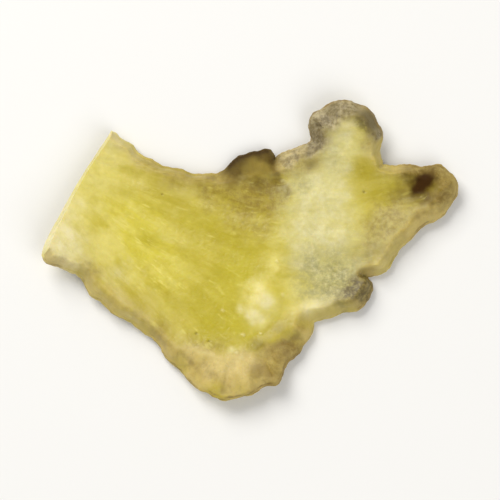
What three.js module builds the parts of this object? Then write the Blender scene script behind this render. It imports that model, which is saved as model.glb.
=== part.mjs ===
import * as THREE from "three";

// One dried slice of a rhizome, in millimetres, lying on a flat surface. +X runs from the cut end to the
// tip of the arm, +Y towards the bud and +Z up. The origin is under the middle of its outline.

// Driving dimensions
const THICKNESS = 3.4; // of the flesh, from cut face to cut face
const EDGE_SHARE = 0.36; // share of the thickness left at the outer edge of the slanted skin
const SKIN_WIDTH = 0.95; // slanted skin seen from above, along the narrow sides
const SKIN_ROUNDING = 1; // how much the slanted skin is rounded: 0 is straight, 1 meets the face smoothly
const SKIN_BULGE = 0.25; // how far the outer wall stands out at its middle
const WALL_MIDDLE = 0.45; // share of the wall's height at which it stands out most
const FLESH_SINK = 0.2; // how far the dried flesh lies below the skin's inner edge
const SINK_SPAN = 4; // distance over which it sinks
const POINT_STEP = 1.05; // spacing of the points that carry the surface
const POINT_ROOM = 0.65; // least room between two of them, as a share of that spacing

// The cut that parts the slice from the rest of the rhizome, nearly straight down to its corner
const CUT_TIP = [-22.8, 20.1];
const CUT_CORNER = [-33.9, -0.9];
const CUT_END = [[-27.6, 12.7], [-31.6, 5.1], [-33.4, 1.2], CUT_CORNER];

// The skin's outline from the cut's lower corner round to its tip. Stretches meet in corners.
const SKIN_STRETCHES = [
  // Foot of the cut end
  [[-33.2, -1.8], [-31.5, -2.6], [-28.4, -3.4]],
  // Long lower edge, rounded heel and the flank that climbs from it
  [
    [-26.3, -6.4], [-22.8, -9.6], [-19.3, -11.7], [-16.3, -13.7], [-13.7, -17.0], [-10.4, -20.5],
    [-7.6, -23.0], [-4.6, -24.2], [-1.6, -24.2], [0.9, -23.1], [2.6, -22.3], [4.3, -22.2],
    [5.2, -20.4], [6.6, -17.9], [8.4, -16.1], [9.6, -14.0], [10.5, -11.7],
  ],
  // Flat lobe
  [[12.5, -10.8], [14.9, -10.2], [17.2, -9.8]],
  // Small round lobe
  [[18.5, -8.9], [19.7, -7.3], [19.7, -5.6], [18.6, -4.3]],
  // Under the arm and round its tip
  [
    [20.2, -4.1], [21.9, -3.3], [23.7, -1.1], [25.6, 1.6], [28.4, 3.9], [31.9, 6.3], [33.7, 9.2],
    [33.4, 12.0], [31.3, 13.7],
  ],
  // Straight upper edge of the arm
  [[21.6, 14.1]],
  // Bud
  [
    [21.3, 16.3], [21.5, 19.2], [20.2, 22.1], [17.5, 24.0], [14.5, 24.2], [11.9, 23.3], [10.2, 21.5],
    [10.1, 18.2],
  ],
  // Small lobe at the bud's foot
  [[8.9, 17.3], [6.3, 16.6], [4.8, 15.9], [4.1, 15.1]],
  // Brown shoulder
  [[3.1, 16.7], [1.3, 16.7], [-1.0, 15.9], [-3.1, 14.6], [-4.6, 13.4], [-5.7, 12.7]],
  // Shallow valley up to the tip of the cut
  [[-9.3, 12.9], [-12.8, 13.8], [-15.2, 14.6], [-17.5, 15.8], [-20.4, 18.2], CUT_TIP],
];

// Places where the skin is broader: the middle and radius of each, and the width it adds
const BROAD_SKIN = [
  { at: [-2.5, -24.0], radius: 16, width: 5.8 }, // heel
  { at: [8.0, -16.5], radius: 10, width: 2.6 }, // flank
  { at: [-0.5, 16.5], radius: 9, width: 5.4 }, // brown shoulder
  { at: [33.0, 9.5], radius: 10, width: 1.8 }, // tip of the arm
  { at: [7.0, 16.5], radius: 5.5, width: 1.6 }, // small lobe
  { at: [11.8, 21.0], radius: 6.5, width: 2.8 }, // left side of the bud
  { at: [-22.0, -10.0], radius: 14, width: 0.7 }, // long lower edge
];

// Ends that drying has lifted: where the lift begins, its heading in degrees, its reach and its height
const CURLS = [
  { from: [-17.5, 4.0], heading: 188, reach: 16.0, lift: 3.6 }, // lower corner of the cut end
  { from: [-16.0, 11.0], heading: 125, reach: 11.0, lift: 0.9 }, // tip of the cut end
  { from: [14.0, 8.0], heading: 82, reach: 16.0, lift: 4.0 }, // bud
  { from: [0.0, -13.0], heading: 265, reach: 11.0, lift: 2.2 }, // heel
  { from: [20.0, 4.0], heading: 18, reach: 15.0, lift: 1.5 }, // arm
  { from: [12.0, -5.0], heading: 307, reach: 7.0, lift: 1.1 }, // lobes
];

// Stretches of edge that have buckled up between the lifted ends: middle, radius and height
const BUCKLES = [
  { at: [-21.0, -11.5], radius: 10, height: 1.0 }, // long lower edge
  { at: [-12.0, 15.5], radius: 8, height: 0.8 }, // valley
  { at: [27.0, 1.0], radius: 8, height: 0.9 }, // under the arm
];

// Lumps (positive) and hollows (negative) of the upper face: the middle and radius of each, its height
const LUMPS = [
  { at: [2.2, -7.8], radius: 4.2, height: 0.8 }, // pale swelling
  { at: [0.4, -10.0], radius: 2.8, height: 0.5 },
  { at: [1.4, -11.8], radius: 2.6, height: 0.4 },
  { at: [11.5, 4.0], radius: 14, height: 0.35 }, // frosted half
  { at: [13.5, -4.0], radius: 6, height: -0.35 },
  { at: [15.8, 18.0], radius: 6, height: 0.35 }, // middle of the bud
  { at: [19.6, 10.5], radius: 5.5, height: -0.45 }, // trough at the foot of the arm
  { at: [24.5, 10.6], radius: 5.2, height: -0.7 }, // trough along the arm
  { at: [29.2, 11.7], radius: 4.2, height: -0.5 }, // hollow near the arm's tip
  { at: [27.9, 9.9], radius: 4.2, height: -0.4 },
  { at: [4.9, 12.4], radius: 2.2, height: -1.0 }, // pit between the shoulder and the small lobe
  { at: [4.3, 14.6], radius: 2.1, height: -0.6 }, // groove that leads to it
  { at: [-1.0, 12.0], radius: 5.5, height: 0.3 }, // crown of the shoulder
  { at: [-4.0, -17.5], radius: 7, height: 0.3 }, // crown of the heel
  { at: [-29.5, 3.0], radius: 7, height: 0.3 }, // thickened corner of the cut end
  { at: [-10.0, 6.5], radius: 9.5, height: -0.25 }, // shallow dip under the valley
];

// Waves: their spacing and height, and how far (in radians) and over what length they drift out of step
const SKIN_SCALLOPS = { spacing: 5.2, height: 0.16, drift: 1.6, span: 9 }; // of the outline
const SKIN_WRINKLES = { spacing: 4.4, height: 0.24, drift: 1.9, span: 7 }; // across the slanted skin
const WRINKLE_REACH = { from: 1.5, to: 4.5 }; // they die out between these distances from the edge
const FIBRE_RIDGES = { spacing: 3.6, height: 0.12, drift: 0.8, span: 5 }; // along the fibres
const UNDERSIDE_GROOVES = { spacing: 4.1, height: 0.11, drift: 0.8, span: 5 }; // along them on the underside
const GROOVE_RISE = 0.6; // height of the underside at which its grooves are full
const FLESH_SWELL = { height: 0.15, spanX: 6.3, spanY: 5.1 };

// Fibres leave the cut end square to it, fan out and bend up towards the bud
const FIBRE_HEADING = THREE.MathUtils.degToRad(-33);
const FIBRE_FAN = 27; // distance behind the cut end from which they seem to spread
const FIBRE_BEND = { from: 20, rate: 0.014, low: -6, high: 8 };

const vector = ([x, y]) => new THREE.Vector2(x, y);

// Height of a smooth mound, 1 in the middle and 0 from its radius on
function mound(point, [x, y], radius) {
  return Math.max(0, 1 - ((point.x - x) ** 2 + (point.y - y) ** 2) / radius ** 2) ** 2;
}

function wave(position, { spacing, height, drift, span }, driftPosition = position) {
  return height * Math.sin((2 * Math.PI * position) / spacing + drift * Math.sin(driftPosition / span));
}

// Evenly spaced points of a curve, without its last
function spaced(curve) {
  const pieces = Math.max(1, Math.round(curve.getLength() / POINT_STEP));
  return curve.getSpacedPoints(pieces).slice(0, -1);
}

// Unit direction square to a closed outline at each of its points, to the outside
function outwardNormals(points) {
  return points.map((point, index) => {
    const before = points.at(index - 1);
    const after = points[(index + 1) % points.length];
    return new THREE.Vector2(after.y - before.y, before.x - after.x).normalize();
  });
}

// Edges of the closed outline, counter-clockwise: first the skin's, then those of the cut end. Each
// knows how far along the outline it starts and ends.
function makeOutline() {
  const skinPath = new THREE.Path();
  skinPath.moveTo(...CUT_CORNER);
  for (const stretch of SKIN_STRETCHES) {
    skinPath.splineThru(stretch.map(vector));
  }
  const cut = new THREE.SplineCurve([CUT_TIP, ...CUT_END].map(vector));
  const skin = skinPath.curves.flatMap(spaced);
  const drawn = [...skin, ...spaced(cut)];
  const normals = outwardNormals(drawn);

  let travelled = 0;
  const points = drawn.map((point, index) => {
    travelled += index === 0 ? 0 : point.distanceTo(drawn[index - 1]);
    const scallop = index > 0 && index < skin.length ? wave(travelled, SKIN_SCALLOPS) : 0;
    const place = point.clone().addScaledVector(normals[index], scallop);
    return { place, along: travelled };
  });
  const edges = points.map(({ place, along }, index) => {
    const next = points[(index + 1) % points.length];
    return { start: place, step: next.place.clone().sub(place), along, alongStep: next.along - along };
  });
  return { points: points.map(({ place }) => place), edges, skinEdges: edges.slice(0, skin.length) };
}

const outline = makeOutline();

// Distance from a point to the nearest of some edges, and how far along the outline that place is
function nearestOn(edges, point) {
  let least = Infinity;
  let along = 0;
  for (const { start, step, along: startAlong, alongStep } of edges) {
    const x = point.x - start.x;
    const y = point.y - start.y;
    const projected = (x * step.x + y * step.y) / (step.x ** 2 + step.y ** 2);
    const share = Math.min(1, Math.max(0, projected));
    const squared = (x - share * step.x) ** 2 + (y - share * step.y) ** 2;
    if (squared < least) {
      least = squared;
      along = startAlong + share * alongStep;
    }
  }
  return { distance: Math.sqrt(least), along };
}

function skinWidth(point) {
  const added = BROAD_SKIN.map(({ at, radius, width }) => width * mound(point, at, radius));
  return added.reduce((sum, width) => sum + width, SKIN_WIDTH);
}

// Height of the underside: zero where the slice rests, and rising smoothly to the lifted edges
function underside(point) {
  const curled = CURLS.reduce((sum, { from, heading, reach, lift }) => {
    const angle = THREE.MathUtils.degToRad(heading);
    const along = (point.x - from[0]) * Math.cos(angle) + (point.y - from[1]) * Math.sin(angle);
    return sum + lift * Math.max(0, along / reach) ** 2;
  }, 0);
  return BUCKLES.reduce((sum, { at, radius, height }) => sum + height * mound(point, at, radius), curled);
}

// Direction square to the underside, upwards
function undersideNormal({ x, y }) {
  const nudge = 0.05;
  const slopeX = (underside({ x: x + nudge, y }) - underside({ x: x - nudge, y })) / (2 * nudge);
  const slopeY = (underside({ x, y: y + nudge }) - underside({ x, y: y - nudge })) / (2 * nudge);
  return new THREE.Vector3(-slopeX, -slopeY, 1).normalize();
}

// Coordinate that is constant along each fibre
function acrossFibres(point) {
  const x = point.x - (CUT_TIP[0] + CUT_CORNER[0]) / 2;
  const y = point.y - (CUT_TIP[1] + CUT_CORNER[1]) / 2;
  const along = x * Math.cos(FIBRE_HEADING) + y * Math.sin(FIBRE_HEADING);
  const across = y * Math.cos(FIBRE_HEADING) - x * Math.sin(FIBRE_HEADING);
  const { from, rate, low, high } = FIBRE_BEND;
  const bend = rate * Math.max(0, along - from) ** 2 * THREE.MathUtils.smoothstep(across, low, high);
  return (across - bend) / (1 + along / FIBRE_FAN);
}

// Depth of the grooves of the underside, where it is clear of the surface
function grooveDepth(point) {
  const clear = THREE.MathUtils.smoothstep(underside(point), 0, GROOVE_RISE);
  return clear * (UNDERSIDE_GROOVES.height + wave(acrossFibres(point), UNDERSIDE_GROOVES, point.x));
}

// Thickness of the slice over a point of its underside
function thicknessAt(point) {
  const { distance, along } = nearestOn(outline.skinEdges, point);
  const width = skinWidth(point);
  const share = Math.min(1, distance / width);

  // Slanted skin, steepest at the outer edge, with wrinkles near it
  const slant = EDGE_SHARE + (1 - EDGE_SHARE) * share * (1 + SKIN_ROUNDING * (1 - share));
  const nearEdge = 1 - THREE.MathUtils.smoothstep(distance, WRINKLE_REACH.from, WRINKLE_REACH.to);
  const wrinkles = 4 * share * (1 - share) * nearEdge * wave(along, SKIN_WRINKLES);

  // Cut face, sunk inside the skin's edge and ridged by the fibres
  const inside = THREE.MathUtils.smoothstep(distance - width, 0, SINK_SPAN);
  const ridges = wave(acrossFibres(point), FIBRE_RIDGES, point.x);
  const { height, spanX, spanY } = FLESH_SWELL;
  const swell = height * Math.sin(point.x / spanX) * Math.cos(point.y / spanY);

  const lumps = LUMPS.reduce((sum, lump) => sum + lump.height * mound(point, lump.at, lump.radius), 0);
  return THICKNESS * slant + wrinkles + inside * (ridges + swell - FLESH_SINK) + share * lumps;
}

// Row of points inside the outline, at a distance from its edges that may change from place to place
function rowInside(edges, wantedDistance) {
  const normals = outwardNormals(outline.points);
  const tries = 6;
  const tolerance = 0.05;
  const missing = (point) => wantedDistance(point) - nearestOn(edges, point).distance;
  const row = outline.points.map((start, index) => {
    const point = start.clone();
    for (let round = 0; round < tries; round += 1) {
      point.addScaledVector(normals[index], -missing(point));
    }
    return point;
  });
  return row.filter((point) => Math.abs(missing(point)) < tolerance);
}

// Adds those of the candidates that keep clear of every point already taken
function addClearPoints(points, candidates) {
  const room = POINT_ROOM * POINT_STEP;
  for (const candidate of candidates) {
    if (isInside(candidate) && points.every((point) => point.distanceTo(candidate) > room)) {
      points.push(candidate);
    }
  }
}

// Whether a line from the point towards +X crosses the outline an odd number of times
function isInside(point) {
  const crossed = outline.edges.filter(({ start, step }) => {
    const spans = start.y > point.y !== start.y + step.y > point.y;
    return spans && point.x < start.x + ((point.y - start.y) / step.y) * step.x;
  });
  return crossed.length % 2 === 1;
}

// Even triangular grid over the box of the outline
function gridPoints() {
  const { min, max } = new THREE.Box2().setFromPoints(outline.points);
  const rowStep = (POINT_STEP * Math.sqrt(3)) / 2;
  const points = [];
  for (let row = 0; min.y + row * rowStep < max.y; row += 1) {
    const offset = row % 2 === 0 ? 0 : POINT_STEP / 2;
    for (let x = min.x + offset; x < max.x; x += POINT_STEP) {
      points.push(new THREE.Vector2(x, min.y + row * rowStep));
    }
  }
  return points;
}

// Triangle of three points of a list, with the circle through them
function circledTriangle(points, corners) {
  const [a, b, c] = corners.map((corner) => points[corner]);
  const twiceArea = 2 * ((b.x - a.x) * (c.y - a.y) - (b.y - a.y) * (c.x - a.x));
  const toB = b.distanceToSquared(a);
  const toC = c.distanceToSquared(a);
  const x = a.x + ((c.y - a.y) * toB - (b.y - a.y) * toC) / twiceArea;
  const y = a.y + ((b.x - a.x) * toC - (c.x - a.x) * toB) / twiceArea;
  const middle = new THREE.Vector2(x, y);
  return { corners, middle, radiusSquared: middle.distanceToSquared(a) };
}

// Delaunay triangles: each new point clears the triangles whose circle holds it and fans out to the
// edge of the gap
function triangulate(points) {
  const far = 1000;
  const count = points.length;
  const all = [...points, vector([-far, -far]), vector([far, -far]), vector([0, far])];
  let triangles = [circledTriangle(all, [count, count + 1, count + 2])];
  points.forEach((point, index) => {
    const gap = new Map();
    triangles = triangles.filter(({ corners, middle, radiusSquared }) => {
      if (middle.distanceToSquared(point) >= radiusSquared) {
        return true;
      }
      corners.forEach((corner, turn) => {
        const next = corners[(turn + 1) % 3];
        if (!gap.delete(`${next} ${corner}`)) {
          gap.set(`${corner} ${next}`, [corner, next]);
        }
      });
      return false;
    });
    for (const [start, end] of gap.values()) {
      triangles.push(circledTriangle(all, [start, end, index]));
    }
  });
  return triangles.map(({ corners }) => corners).filter((corners) => Math.max(...corners) < count);
}

// Plan of the slice: the outline's points first, then a row where the skin meets the cut face, a row
// beside the edge, a row inside the skin and a grid
function makePlan() {
  const points = [...outline.points];
  addClearPoints(points, rowInside(outline.skinEdges, skinWidth));
  addClearPoints(points, rowInside(outline.edges, () => POINT_ROOM * POINT_STEP));
  addClearPoints(points, rowInside(outline.skinEdges, (point) => skinWidth(point) + POINT_STEP));
  addClearPoints(points, gridPoints());
  const triangles = triangulate(points).filter((corners) => {
    const [a, b, c] = corners.map((corner) => points[corner]);
    return isInside({ x: (a.x + b.x + c.x) / 3, y: (a.y + b.y + c.y) / 3 });
  });
  return { points, triangles };
}

// Closed body: the underside, the upper face and the wall between them, which has a ring at its middle
function makeSlice() {
  const plan = makePlan();
  const base = plan.points.map((point) => new THREE.Vector3(point.x, point.y, underside(point)));
  const below = plan.points.map((point, index) => {
    const place = base[index].clone();
    place.z += grooveDepth(point);
    return place;
  });
  const above = plan.points.map((point, index) =>
    base[index].clone().addScaledVector(undersideNormal(point), thicknessAt(point)),
  );
  const middle = outwardNormals(outline.points).map((normal, index) => {
    const place = below[index].clone().lerp(above[index], WALL_MIDDLE);
    const bulge = index < outline.skinEdges.length ? SKIN_BULGE : 0;
    return place.add(new THREE.Vector3(normal.x, normal.y, 0).multiplyScalar(bulge));
  });

  const aboveStart = below.length;
  const middleStart = aboveStart + above.length;
  const triangles = plan.triangles.flatMap(([a, b, c]) => [
    [a, c, b],
    [aboveStart + a, aboveStart + b, aboveStart + c],
  ]);
  middle.forEach((_, index) => {
    const next = (index + 1) % middle.length;
    triangles.push([index, next, middleStart + next], [index, middleStart + next, middleStart + index]);
    triangles.push([middleStart + index, middleStart + next, aboveStart + next]);
    triangles.push([middleStart + index, aboveStart + next, aboveStart + index]);
  });

  const geometry = new THREE.BufferGeometry().setFromPoints([...below, ...above, ...middle]);
  geometry.setIndex(triangles.flat());
  geometry.computeVertexNormals();
  return geometry;
}

const driedFlesh = new THREE.MeshStandardMaterial({ color: 0xcdbf62, roughness: 0.5, metalness: 0 });

const slice = new THREE.Mesh(makeSlice(), driedFlesh);
slice.name = "rhizome_slice";

const part = new THREE.Group();
part.add(slice);

export default part;
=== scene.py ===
"""One dried slice of a rhizome on a pale surface, seen from above.

The slice's shape is worked out in millimetres in the frame's axes, and its mesh is made in metres."""

import math

import bpy
import numpy as np
from mathutils import Matrix, Vector
from mathutils.geometry import delaunay_2d_cdt


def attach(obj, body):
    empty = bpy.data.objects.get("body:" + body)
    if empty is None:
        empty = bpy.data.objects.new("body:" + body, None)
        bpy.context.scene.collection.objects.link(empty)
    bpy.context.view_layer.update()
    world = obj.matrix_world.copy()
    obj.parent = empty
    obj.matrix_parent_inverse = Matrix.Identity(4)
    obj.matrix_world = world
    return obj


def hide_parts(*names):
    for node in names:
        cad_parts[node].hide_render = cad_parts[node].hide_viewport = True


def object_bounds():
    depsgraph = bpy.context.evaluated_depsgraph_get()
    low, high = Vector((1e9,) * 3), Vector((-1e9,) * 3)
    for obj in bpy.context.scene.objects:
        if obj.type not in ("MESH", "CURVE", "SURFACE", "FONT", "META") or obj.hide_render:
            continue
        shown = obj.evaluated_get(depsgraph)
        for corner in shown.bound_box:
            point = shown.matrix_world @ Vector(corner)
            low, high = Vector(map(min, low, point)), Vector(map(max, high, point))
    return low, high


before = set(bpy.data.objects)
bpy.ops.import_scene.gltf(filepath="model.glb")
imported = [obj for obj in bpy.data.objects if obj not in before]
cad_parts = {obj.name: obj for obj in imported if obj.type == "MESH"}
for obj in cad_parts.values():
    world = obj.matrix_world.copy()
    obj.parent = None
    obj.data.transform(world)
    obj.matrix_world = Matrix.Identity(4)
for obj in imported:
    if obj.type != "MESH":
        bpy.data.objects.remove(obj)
cad_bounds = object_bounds()

MM = 0.001

# Driving dimensions of the slice
THICKNESS = 3.4  # of the flesh, from cut face to cut face
EDGE_SHARE = 0.36  # share of the thickness left at the outer edge of the slanted skin
SKIN_WIDTH = 0.95  # slanted skin seen from above, along the narrow sides
SKIN_ROUNDING = 1.0  # how much the slanted skin is rounded: 0 is straight, 1 meets the face smoothly
SKIN_BULGE = 0.25  # how far the outer wall stands out at its middle
SKIN_BELOW = 0.7  # skin seen on the underside, where it is cut straight
SKIN_BELOW_FADE = (0.25, 0.15)  # how far before that width and past it the skin fades out
FLESH_SINK = 0.2  # how far the dried flesh lies below the skin's inner edge
SINK_SPAN = 4.0  # distance over which it sinks
LEAST_BLUR = 0.8  # half the distance over which the narrowest skin fades into the flesh
SKIN_BLUR = 0.45  # how much more the broader skin fades, as a share of its added width

# Spacing of the mesh's points
EDGE_STEP = 0.22  # along the outline
ABOVE_STEP = 0.23  # over the upper face
BELOW_STEP = 0.4  # over the underside
WALL_ROWS = 12  # up the wall
POINT_ROOM = 0.6  # least distance of an inner point from the outline, as a share of its spacing
MERGE_DISTANCE = 1e-6  # points closer than this would be one

# The cut that parts the slice from the rest of the rhizome, nearly straight down to its corner
CUT_TIP = (-22.8, 20.1)
CUT_CORNER = (-33.9, -0.9)
CUT_END = [CUT_TIP, (-27.6, 12.7), (-31.6, 5.1), (-33.4, 1.2), CUT_CORNER]

# The skin's outline from the cut's lower corner round to its tip. Stretches meet in corners.
SKIN_STRETCHES = [
    # Foot of the cut end
    [(-33.2, -1.8), (-31.5, -2.6), (-28.4, -3.4)],
    # Long lower edge, rounded heel and the flank that climbs from it
    [
        (-26.3, -6.4), (-22.8, -9.6), (-19.3, -11.7), (-16.3, -13.7), (-13.7, -17.0), (-10.4, -20.5),
        (-7.6, -23.0), (-4.6, -24.2), (-1.6, -24.2), (0.9, -23.1), (2.6, -22.3), (4.3, -22.2),
        (5.2, -20.4), (6.6, -17.9), (8.4, -16.1), (9.6, -14.0), (10.5, -11.7),
    ],
    # Flat lobe
    [(12.5, -10.8), (14.9, -10.2), (17.2, -9.8)],
    # Small round lobe
    [(18.5, -8.9), (19.7, -7.3), (19.7, -5.6), (18.6, -4.3)],
    # Under the arm and round its tip
    [
        (20.2, -4.1), (21.9, -3.3), (23.7, -1.1), (25.6, 1.6), (28.4, 3.9), (31.9, 6.3), (33.7, 9.2),
        (33.4, 12.0), (31.3, 13.7),
    ],
    # Straight upper edge of the arm
    [(21.6, 14.1)],
    # Bud
    [
        (21.3, 16.3), (21.5, 19.2), (20.2, 22.1), (17.5, 24.0), (14.5, 24.2), (11.9, 23.3), (10.2, 21.5),
        (10.1, 18.2),
    ],
    # Small lobe at the bud's foot
    [(8.9, 17.3), (6.3, 16.6), (4.8, 15.9), (4.1, 15.1)],
    # Brown shoulder
    [(3.1, 16.7), (1.3, 16.7), (-1.0, 15.9), (-3.1, 14.6), (-4.6, 13.4), (-5.7, 12.7)],
    # Shallow valley up to the tip of the cut
    [(-9.3, 12.9), (-12.8, 13.8), (-15.2, 14.6), (-17.5, 15.8), (-20.4, 18.2), CUT_TIP],
]

# Places where the skin is broader: the middle and radius of each, and the width it adds
BROAD_SKIN = [
    ((-2.5, -24.0), 16, 5.8),  # heel
    ((8.0, -16.5), 10, 2.6),  # flank
    ((-0.5, 16.5), 9, 5.4),  # brown shoulder
    ((33.0, 9.5), 10, 1.8),  # tip of the arm
    ((7.0, 16.5), 5.5, 1.6),  # small lobe
    ((11.8, 21.0), 6.5, 2.8),  # left side of the bud
    ((-22.0, -10.0), 14, 0.7),  # long lower edge
]

# Ends that drying has lifted: where the lift begins, its heading in degrees, its reach and its height
CURLS = [
    ((-17.5, 4.0), 188, 16.0, 3.6),  # lower corner of the cut end
    ((-16.0, 11.0), 125, 11.0, 0.9),  # tip of the cut end
    ((14.0, 8.0), 82, 16.0, 4.0),  # bud
    ((0.0, -13.0), 265, 11.0, 2.2),  # heel
    ((20.0, 4.0), 18, 15.0, 1.5),  # arm
    ((12.0, -5.0), 307, 7.0, 1.1),  # lobes
]

# Stretches of edge that have buckled up between the lifted ends: middle, radius and height
BUCKLES = [
    ((-21.0, -11.5), 10, 1.0),  # long lower edge
    ((-12.0, 15.5), 8, 0.8),  # valley
    ((27.0, 1.0), 8, 0.9),  # under the arm
]

# Lumps (positive) and hollows (negative) of the upper face: the middle and radius of each, its height
LUMPS = [
    ((2.2, -7.8), 4.2, 0.8),  # pale swelling
    ((0.4, -10.0), 2.8, 0.5),
    ((1.4, -11.8), 2.6, 0.4),
    ((11.5, 4.0), 14, 0.35),  # frosted half
    ((13.5, -4.0), 6, -0.35),
    ((15.8, 18.0), 6, 0.35),  # middle of the bud
    ((19.6, 10.5), 5.5, -0.45),  # trough at the foot of the arm
    ((24.5, 10.6), 5.2, -0.7),  # trough along the arm
    ((29.2, 11.7), 4.2, -0.5),  # hollow near the arm's tip
    ((27.9, 9.9), 4.2, -0.4),
    ((4.9, 12.4), 2.2, -1.0),  # pit between the shoulder and the small lobe
    ((4.3, 14.6), 2.1, -0.6),  # groove that leads to it
    ((-1.0, 12.0), 5.5, 0.3),  # crown of the shoulder
    ((-4.0, -17.5), 7, 0.3),  # crown of the heel
    ((-29.5, 3.0), 7, 0.3),  # thickened corner of the cut end
    ((-10.0, 6.5), 9.5, -0.25),  # shallow dip under the valley
]

# Small raised specks of dried sap: the middle of each and its radius
SPECKS = [
    ((-4.3, -9.9), 0.4), ((-1.0, -14.0), 0.5), ((-1.9, -17.6), 0.55), ((5.4, -7.3), 0.4), ((1.9, -13.9), 0.4),
    ((4.5, -1.9), 0.35),
]
SPECK_HEIGHT = 0.18
# Painted glint: how much white is laid on the specks
SPECK_PAINTED_GLINT = 0.6

# Pinholes in the flesh: the middle of each and its radius
PINHOLES = [((-8.7, -13.8), 0.38), ((-6.6, -15.2), 0.32), ((18.7, 9.7), 0.38), ((-14.2, 9.6), 0.3)]
PINHOLE_DEPTH = 0.15
# How much brown stain and painted shade darken the pinholes
PINHOLE_DARKNESS = 0.5

# Small pits scattered in the skin round the bud
PIT_COUNT = 12
PIT_RADII = (0.2, 0.38)
PIT_DEPTH = 0.12
# How much brown stain and painted shade darken the pits
PIT_DARKNESS = 0.35
PIT_SHARES = (0.25, 0.95)  # how far across the skin they may lie
PITS_BEYOND = (5, 17)  # they lie past this place along X and Y

# Brown stain, with painted shade, in the deepest hollows: the middle and radius of each, and its strength
STAINS_AND_SHADE = [
    ((29.6, 12.2), 2.6, 0.9), ((28.4, 10.6), 2.6, 0.7), ((27.2, 9.4), 2.2, 0.4), ((26.8, 11.8), 3.0, 0.4),
    ((4.1, 13.8), 1.3, 0.3), ((4.7, 12.1), 1.9, 0.4), ((3.8, 15.2), 1.2, 0.4),
]
STAIN_AND_SHADE_LIMITS = (0.1, 1.0)  # strengths between which they fade in

# Waves: their spacing and height, and how far (in radians) and over what length they drift out of step
SKIN_SCALLOPS = (5.2, 0.16, 1.6, 9)  # of the outline
SKIN_WRINKLES = (4.4, 0.24, 1.9, 7)  # across the slanted skin
FIBRE_RIDGES = (3.6, 0.12, 0.8, 5)  # along the fibres
UNDERSIDE_GROOVES = (4.1, 0.11, 0.8, 5)  # along the fibres of the underside

WRINKLE_REACH = (1.5, 4.5)  # the skin's wrinkles die out between these distances from the edge
GROOVE_RISE = 0.6  # height of the underside at which its grooves are full
FLESH_SWELL = (0.15, 6.3, 5.1)  # height of the flesh's broad waves, and their span along X and Y

# Fibres leave the cut end square to it, fan out and bend up towards the bud
FIBRE_HEADING = math.radians(-33)
FIBRE_FAN = 27  # distance behind the cut end from which they seem to spread
FIBRE_BEND_FROM = 20
FIBRE_BEND_RATE = 0.014
FIBRE_BEND_SIDES = (-6, 8)  # the bend grows between these places across the fibres

# Random bumps: their spacing along two directions, their height and the seed of their order. The second
# spacing of the wall's is a share of its height.
BUMPS = {
    "outline crinkles": [(1.7, 1.7, 0.11, 11), (0.8, 0.8, 0.06, 12)],
    "skin border": [(1.9, 1.9, 0.5, 13), (0.8, 0.8, 0.25, 14)],
    "cut paling": [(2.5, 2.5, 1.2, 15)],
    "fibre patches": [(6, 6, 1.0, 20)],
    "fibres": [(0.7, 4, 0.045, 21), (1.3, 7, 0.03, 22)],
    "grain": [(0.6, 0.6, 0.025, 23)],
    "frosting": [(1.9, 1.9, 0.07, 24), (0.75, 0.75, 0.05, 25)],
    "skin folds": [(1.5, 3.5, 0.08, 26)],
    "skin crumple": [(1.1, 1.1, 0.06, 27), (0.5, 0.5, 0.04, 28)],
    "skin rings": [(5, 1.1, 1.0, 29)],
    "skin bosses": [(2.6, 2.6, 0.16, 30)],
    "stain_and_shade_borders": [(1.4, 1.4, 0.25, 35), (0.5, 0.5, 0.08, 36)],
    "fibres below": [(0.9, 9, 0.05, 61)],
    "grain below": [(1.3, 1.3, 0.04, 62)],
    "wall": [(1.1, 1 / 3, 0.1, 71), (0.4, 1 / 4, 0.05, 72), (3.4, 1 / 4, 0.14, 73)],
}
ZONE_BUMPS = [(3.1, 1.0), (1.2, 0.6)]  # spacing and height of those that make the zones of colour ragged
FIRST_ZONE_SEED = 40  # each zone takes one seed for each of them

# How the fine relief of the upper face changes from place to place
PATCH_LIMITS = (-0.6, 0.7)  # heights of the fibre patches between which the fibres set in
FROST_LEVELLING = 0.75  # how much frost levels the fibres
RING_HEIGHT = 0.06  # of the rings along the skin
BOSS_WIDTHS = (1, 4)  # bosses set in where the skin is broader by these widths
SKIN_RELIEF_FADE = 0.5  # distance from the edge over which the skin's relief sets in

# Wall between the two faces
WALL_FULLNESS = 0.6  # power of its bulge: the lower, the straighter its middle
CUT_ROUGHNESS = 0.5  # how far its bumps stand out along the cut end, as a share of those along the skin
WALL_DEPTH = 2.2  # of the wall from face to face, as the skin's rings count it

# What colours the points near the edge
RIM_REACH = 0.55  # distance over which the pale rim fades out
RIM_ON_WALL = 0.7  # strength of the rim all over the wall
BAND = (1.3, 0.7)  # distance from the edge of the dark arcs round the bud, and half their width
EDGE_REACH = 2.4  # distance over which the flesh loses most of the skin's tone
EDGE_REACH_BELOW = 1.6  # the same on the underside
EDGE_DULLING = 0.7  # how much the bright and cream zones fade there
WEATHERING = 0.5  # of the upper face's skin, where the wall's is 1
FULL_RELIEF = 0.15  # height of the fine relief at which its shading is full
FULL_RELIEF_BELOW = 0.12  # the same on the underside

# The flesh is palest at the cut end, and takes its colour over this distance
CUT_PALING = (0.5, 9.5)

# How much frost and cream hide the fibres' colours
FROST_COVER = 0.8
CREAM_COVER = 0.7

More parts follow.
